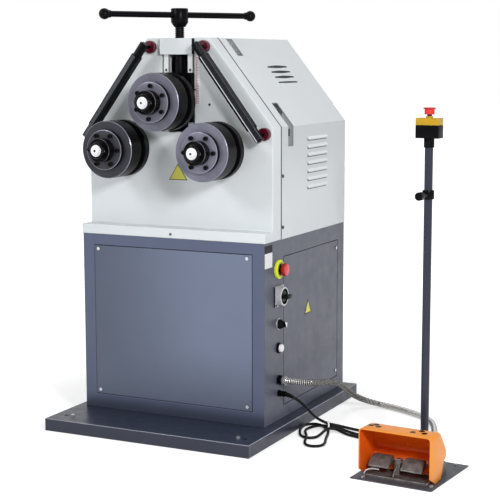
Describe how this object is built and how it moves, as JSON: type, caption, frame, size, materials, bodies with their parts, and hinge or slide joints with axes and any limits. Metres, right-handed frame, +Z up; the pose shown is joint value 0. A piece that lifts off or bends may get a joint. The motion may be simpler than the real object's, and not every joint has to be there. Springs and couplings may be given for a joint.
{
  "type": "ring roller",
  "caption": "Three-roll section bender on a steel cabinet, with a T-handle feed screw, exchangeable rolls, side controls, a foot switch and a pendant stop on a floor post.",
  "frame": {"origin": "on the floor under the middle of the cabinet, on the underside of the floor plinth's ribs", "axes": "+X to the operator's right, -Y out of the front towards the operator, +Z up"},
  "size_m": [1.3298, 0.9267, 1.327],
  "materials": {
    "cabinet_grey": "satin",
    "plinth_grey": "satin",
    "head_white": "satin",
    "black_steel": "satin",
    "roll_steel": "satin, blackened",
    "bright_steel": "machined",
    "zinc": "satin",
    "bronze": "machined",
    "gear_steel": "machined",
    "motor_blue": "satin",
    "control_beige": "matte",
    "crimson": "gloss",
    "stop_red": "gloss",
    "stop_yellow": "satin",
    "switch_grey": "satin",
    "black_plastic": "matte",
    "white_plastic": "gloss",
    "scale_steel": "satin",
    "lid_yellow": "gloss",
    "foot_orange": "satin",
    "foot_casting": "cast",
    "deck_steel": "satin",
    "hose_steel": "ribbed",
    "cord_rubber": "matte"
  },
  "bodies": {
    "main_frame": {"base_plinth": "plinth_grey", "cabinet_shell": "cabinet_grey", "front_panel": "cabinet_grey", "side_panel": "cabinet_grey", "cover_screws": "zinc", "front_casting": "head_white", "rear_hood": "head_white", "head_block": "head_white", "guide_gibs": "bright_steel", "position_scale": "scale_steel", "drive_frame": "bright_steel", "shaft_bushes": "bronze", "gearbox": "motor_blue", "motor": "motor_blue", "control_gear": "control_beige", "guide_rails": "black_steel", "rail_standoffs": "black_steel", "rail_caps": "crimson", "estop_collar": "stop_yellow", "main_switch_plate": "switch_grey", "button_bezels": "black_plastic", "cable_glands": "black_plastic", "floor_plate": "deck_steel", "pedestal_pole": "plinth_grey", "pole_grip": "black_plastic", "pendant_box": "black_plastic", "pendant_lid": "lid_yellow", "foot_hood": "foot_orange", "foot_base": "foot_casting", "conduit_hose": "hose_steel", "mains_lead": "cord_rubber", "mains_tail": "cord_rubber", "cord_hank": "cord_rubber", "mains_plug": "black_plastic"},
    "top_slide": {"top_slide_block": "black_steel"},
    "screw_and_handle": {"feed_screw": "black_steel", "handle_hub": "black_steel", "handle_bar": "black_steel"},
    "top_roll": {"top_shaft": "bright_steel", "top_roll_rings": "roll_steel", "top_clamp_hub": "roll_steel", "top_lock_nut": "roll_steel"},
    "left_roll": {"left_shaft": "bright_steel", "left_roll_rings": "roll_steel", "left_clamp_hub": "roll_steel", "left_lock_nut": "roll_steel", "left_gear": "gear_steel"},
    "right_roll": {"right_shaft": "bright_steel", "right_roll_rings": "roll_steel", "right_clamp_hub": "roll_steel", "right_lock_nut": "roll_steel", "right_gear": "gear_steel"},
    "pinion": {"pinion_shaft": "gear_steel"},
    "machine_stop": {"estop_button": "stop_red"},
    "main_switch": {"main_switch_knob": "black_plastic"},
    "selector": {"selector_knob": "zinc"},
    "start": {"start_button": "white_plastic"},
    "pendant_stop": {"pendant_estop_button": "stop_red"},
    "left_treadle": {"left_pedal": "foot_casting"},
    "right_treadle": {"right_pedal": "foot_casting"}
  },
  "joints": [
    {"name": "top_slide_travel", "type": "slide", "parent": "main_frame", "child": "top_slide", "axis": [0, 0, 1], "range_m": [-0.0305, 0.0555]},
    {"name": "screw_turn", "type": "hinge", "parent": "top_slide", "child": "screw_and_handle", "pos_m": [0, -0.2495, 1.2], "axis": [0, 0, 1], "range_deg": [-1800, 3300]},
    {"name": "top_roll_spin", "type": "hinge", "parent": "top_slide", "child": "top_roll", "pos_m": [0, -0.3, 1.041], "axis": [0, 1, 0], "continuous": true},
    {"name": "left_roll_spin", "type": "hinge", "parent": "main_frame", "child": "left_roll", "pos_m": [-0.166, -0.3, 0.8935], "axis": [0, 1, 0], "continuous": true},
    {"name": "right_roll_spin", "type": "hinge", "parent": "main_frame", "child": "right_roll", "pos_m": [0.166, -0.3, 0.8935], "axis": [0, 1, 0], "continuous": true},
    {"name": "pinion_spin", "type": "hinge", "parent": "main_frame", "child": "pinion", "pos_m": [0, 0, 0.8381], "axis": [0, 1, 0], "continuous": true},
    {"name": "machine_stop_push", "type": "slide", "parent": "main_frame", "child": "machine_stop", "axis": [-1, 0, 0], "range_m": [0, 0.0045]},
    {"name": "main_switch_turn", "type": "hinge", "parent": "main_frame", "child": "main_switch", "pos_m": [0.34, -0.218, 0.439], "axis": [1, 0, 0], "range_deg": [0, 90]},
    {"name": "selector_turn", "type": "hinge", "parent": "main_frame", "child": "selector", "pos_m": [0.34, -0.218, 0.35], "axis": [1, 0, 0], "range_deg": [-45, 45]},
    {"name": "start_push", "type": "slide", "parent": "main_frame", "child": "start", "axis": [-1, 0, 0], "range_m": [0, 0.004], "stiffness_N_per_m": 500, "springref_m": -0.002},
    {"name": "pendant_stop_push", "type": "slide", "parent": "main_frame", "child": "pendant_stop", "axis": [0, 0, -1], "range_m": [0, 0.004]},
    {"name": "left_pedal_press", "type": "hinge", "parent": "main_frame", "child": "left_treadle", "pos_m": [0.77468, -0.47036, 0.042], "axis": [0.9966, -0.0819, 0], "range_deg": [0, 9], "stiffness_Nm_per_rad": 2, "springref_deg": -11.46},
    {"name": "right_pedal_press", "type": "hinge", "parent": "main_frame", "child": "right_treadle", "pos_m": [0.87335, -0.47847, 0.042], "axis": [0.9966, -0.0819, 0], "range_deg": [0, 9], "stiffness_Nm_per_rad": 2, "springref_deg": -11.46}
  ],
  "couplings": [
    {"joint": "top_slide_travel", "follows": "screw_turn", "m_per_rad": 0.00095493},
    {"joint": "right_roll_spin", "follows": "left_roll_spin", "ratio": 1},
    {"joint": "pinion_spin", "follows": "left_roll_spin", "ratio": -2.8889}
  ]
}
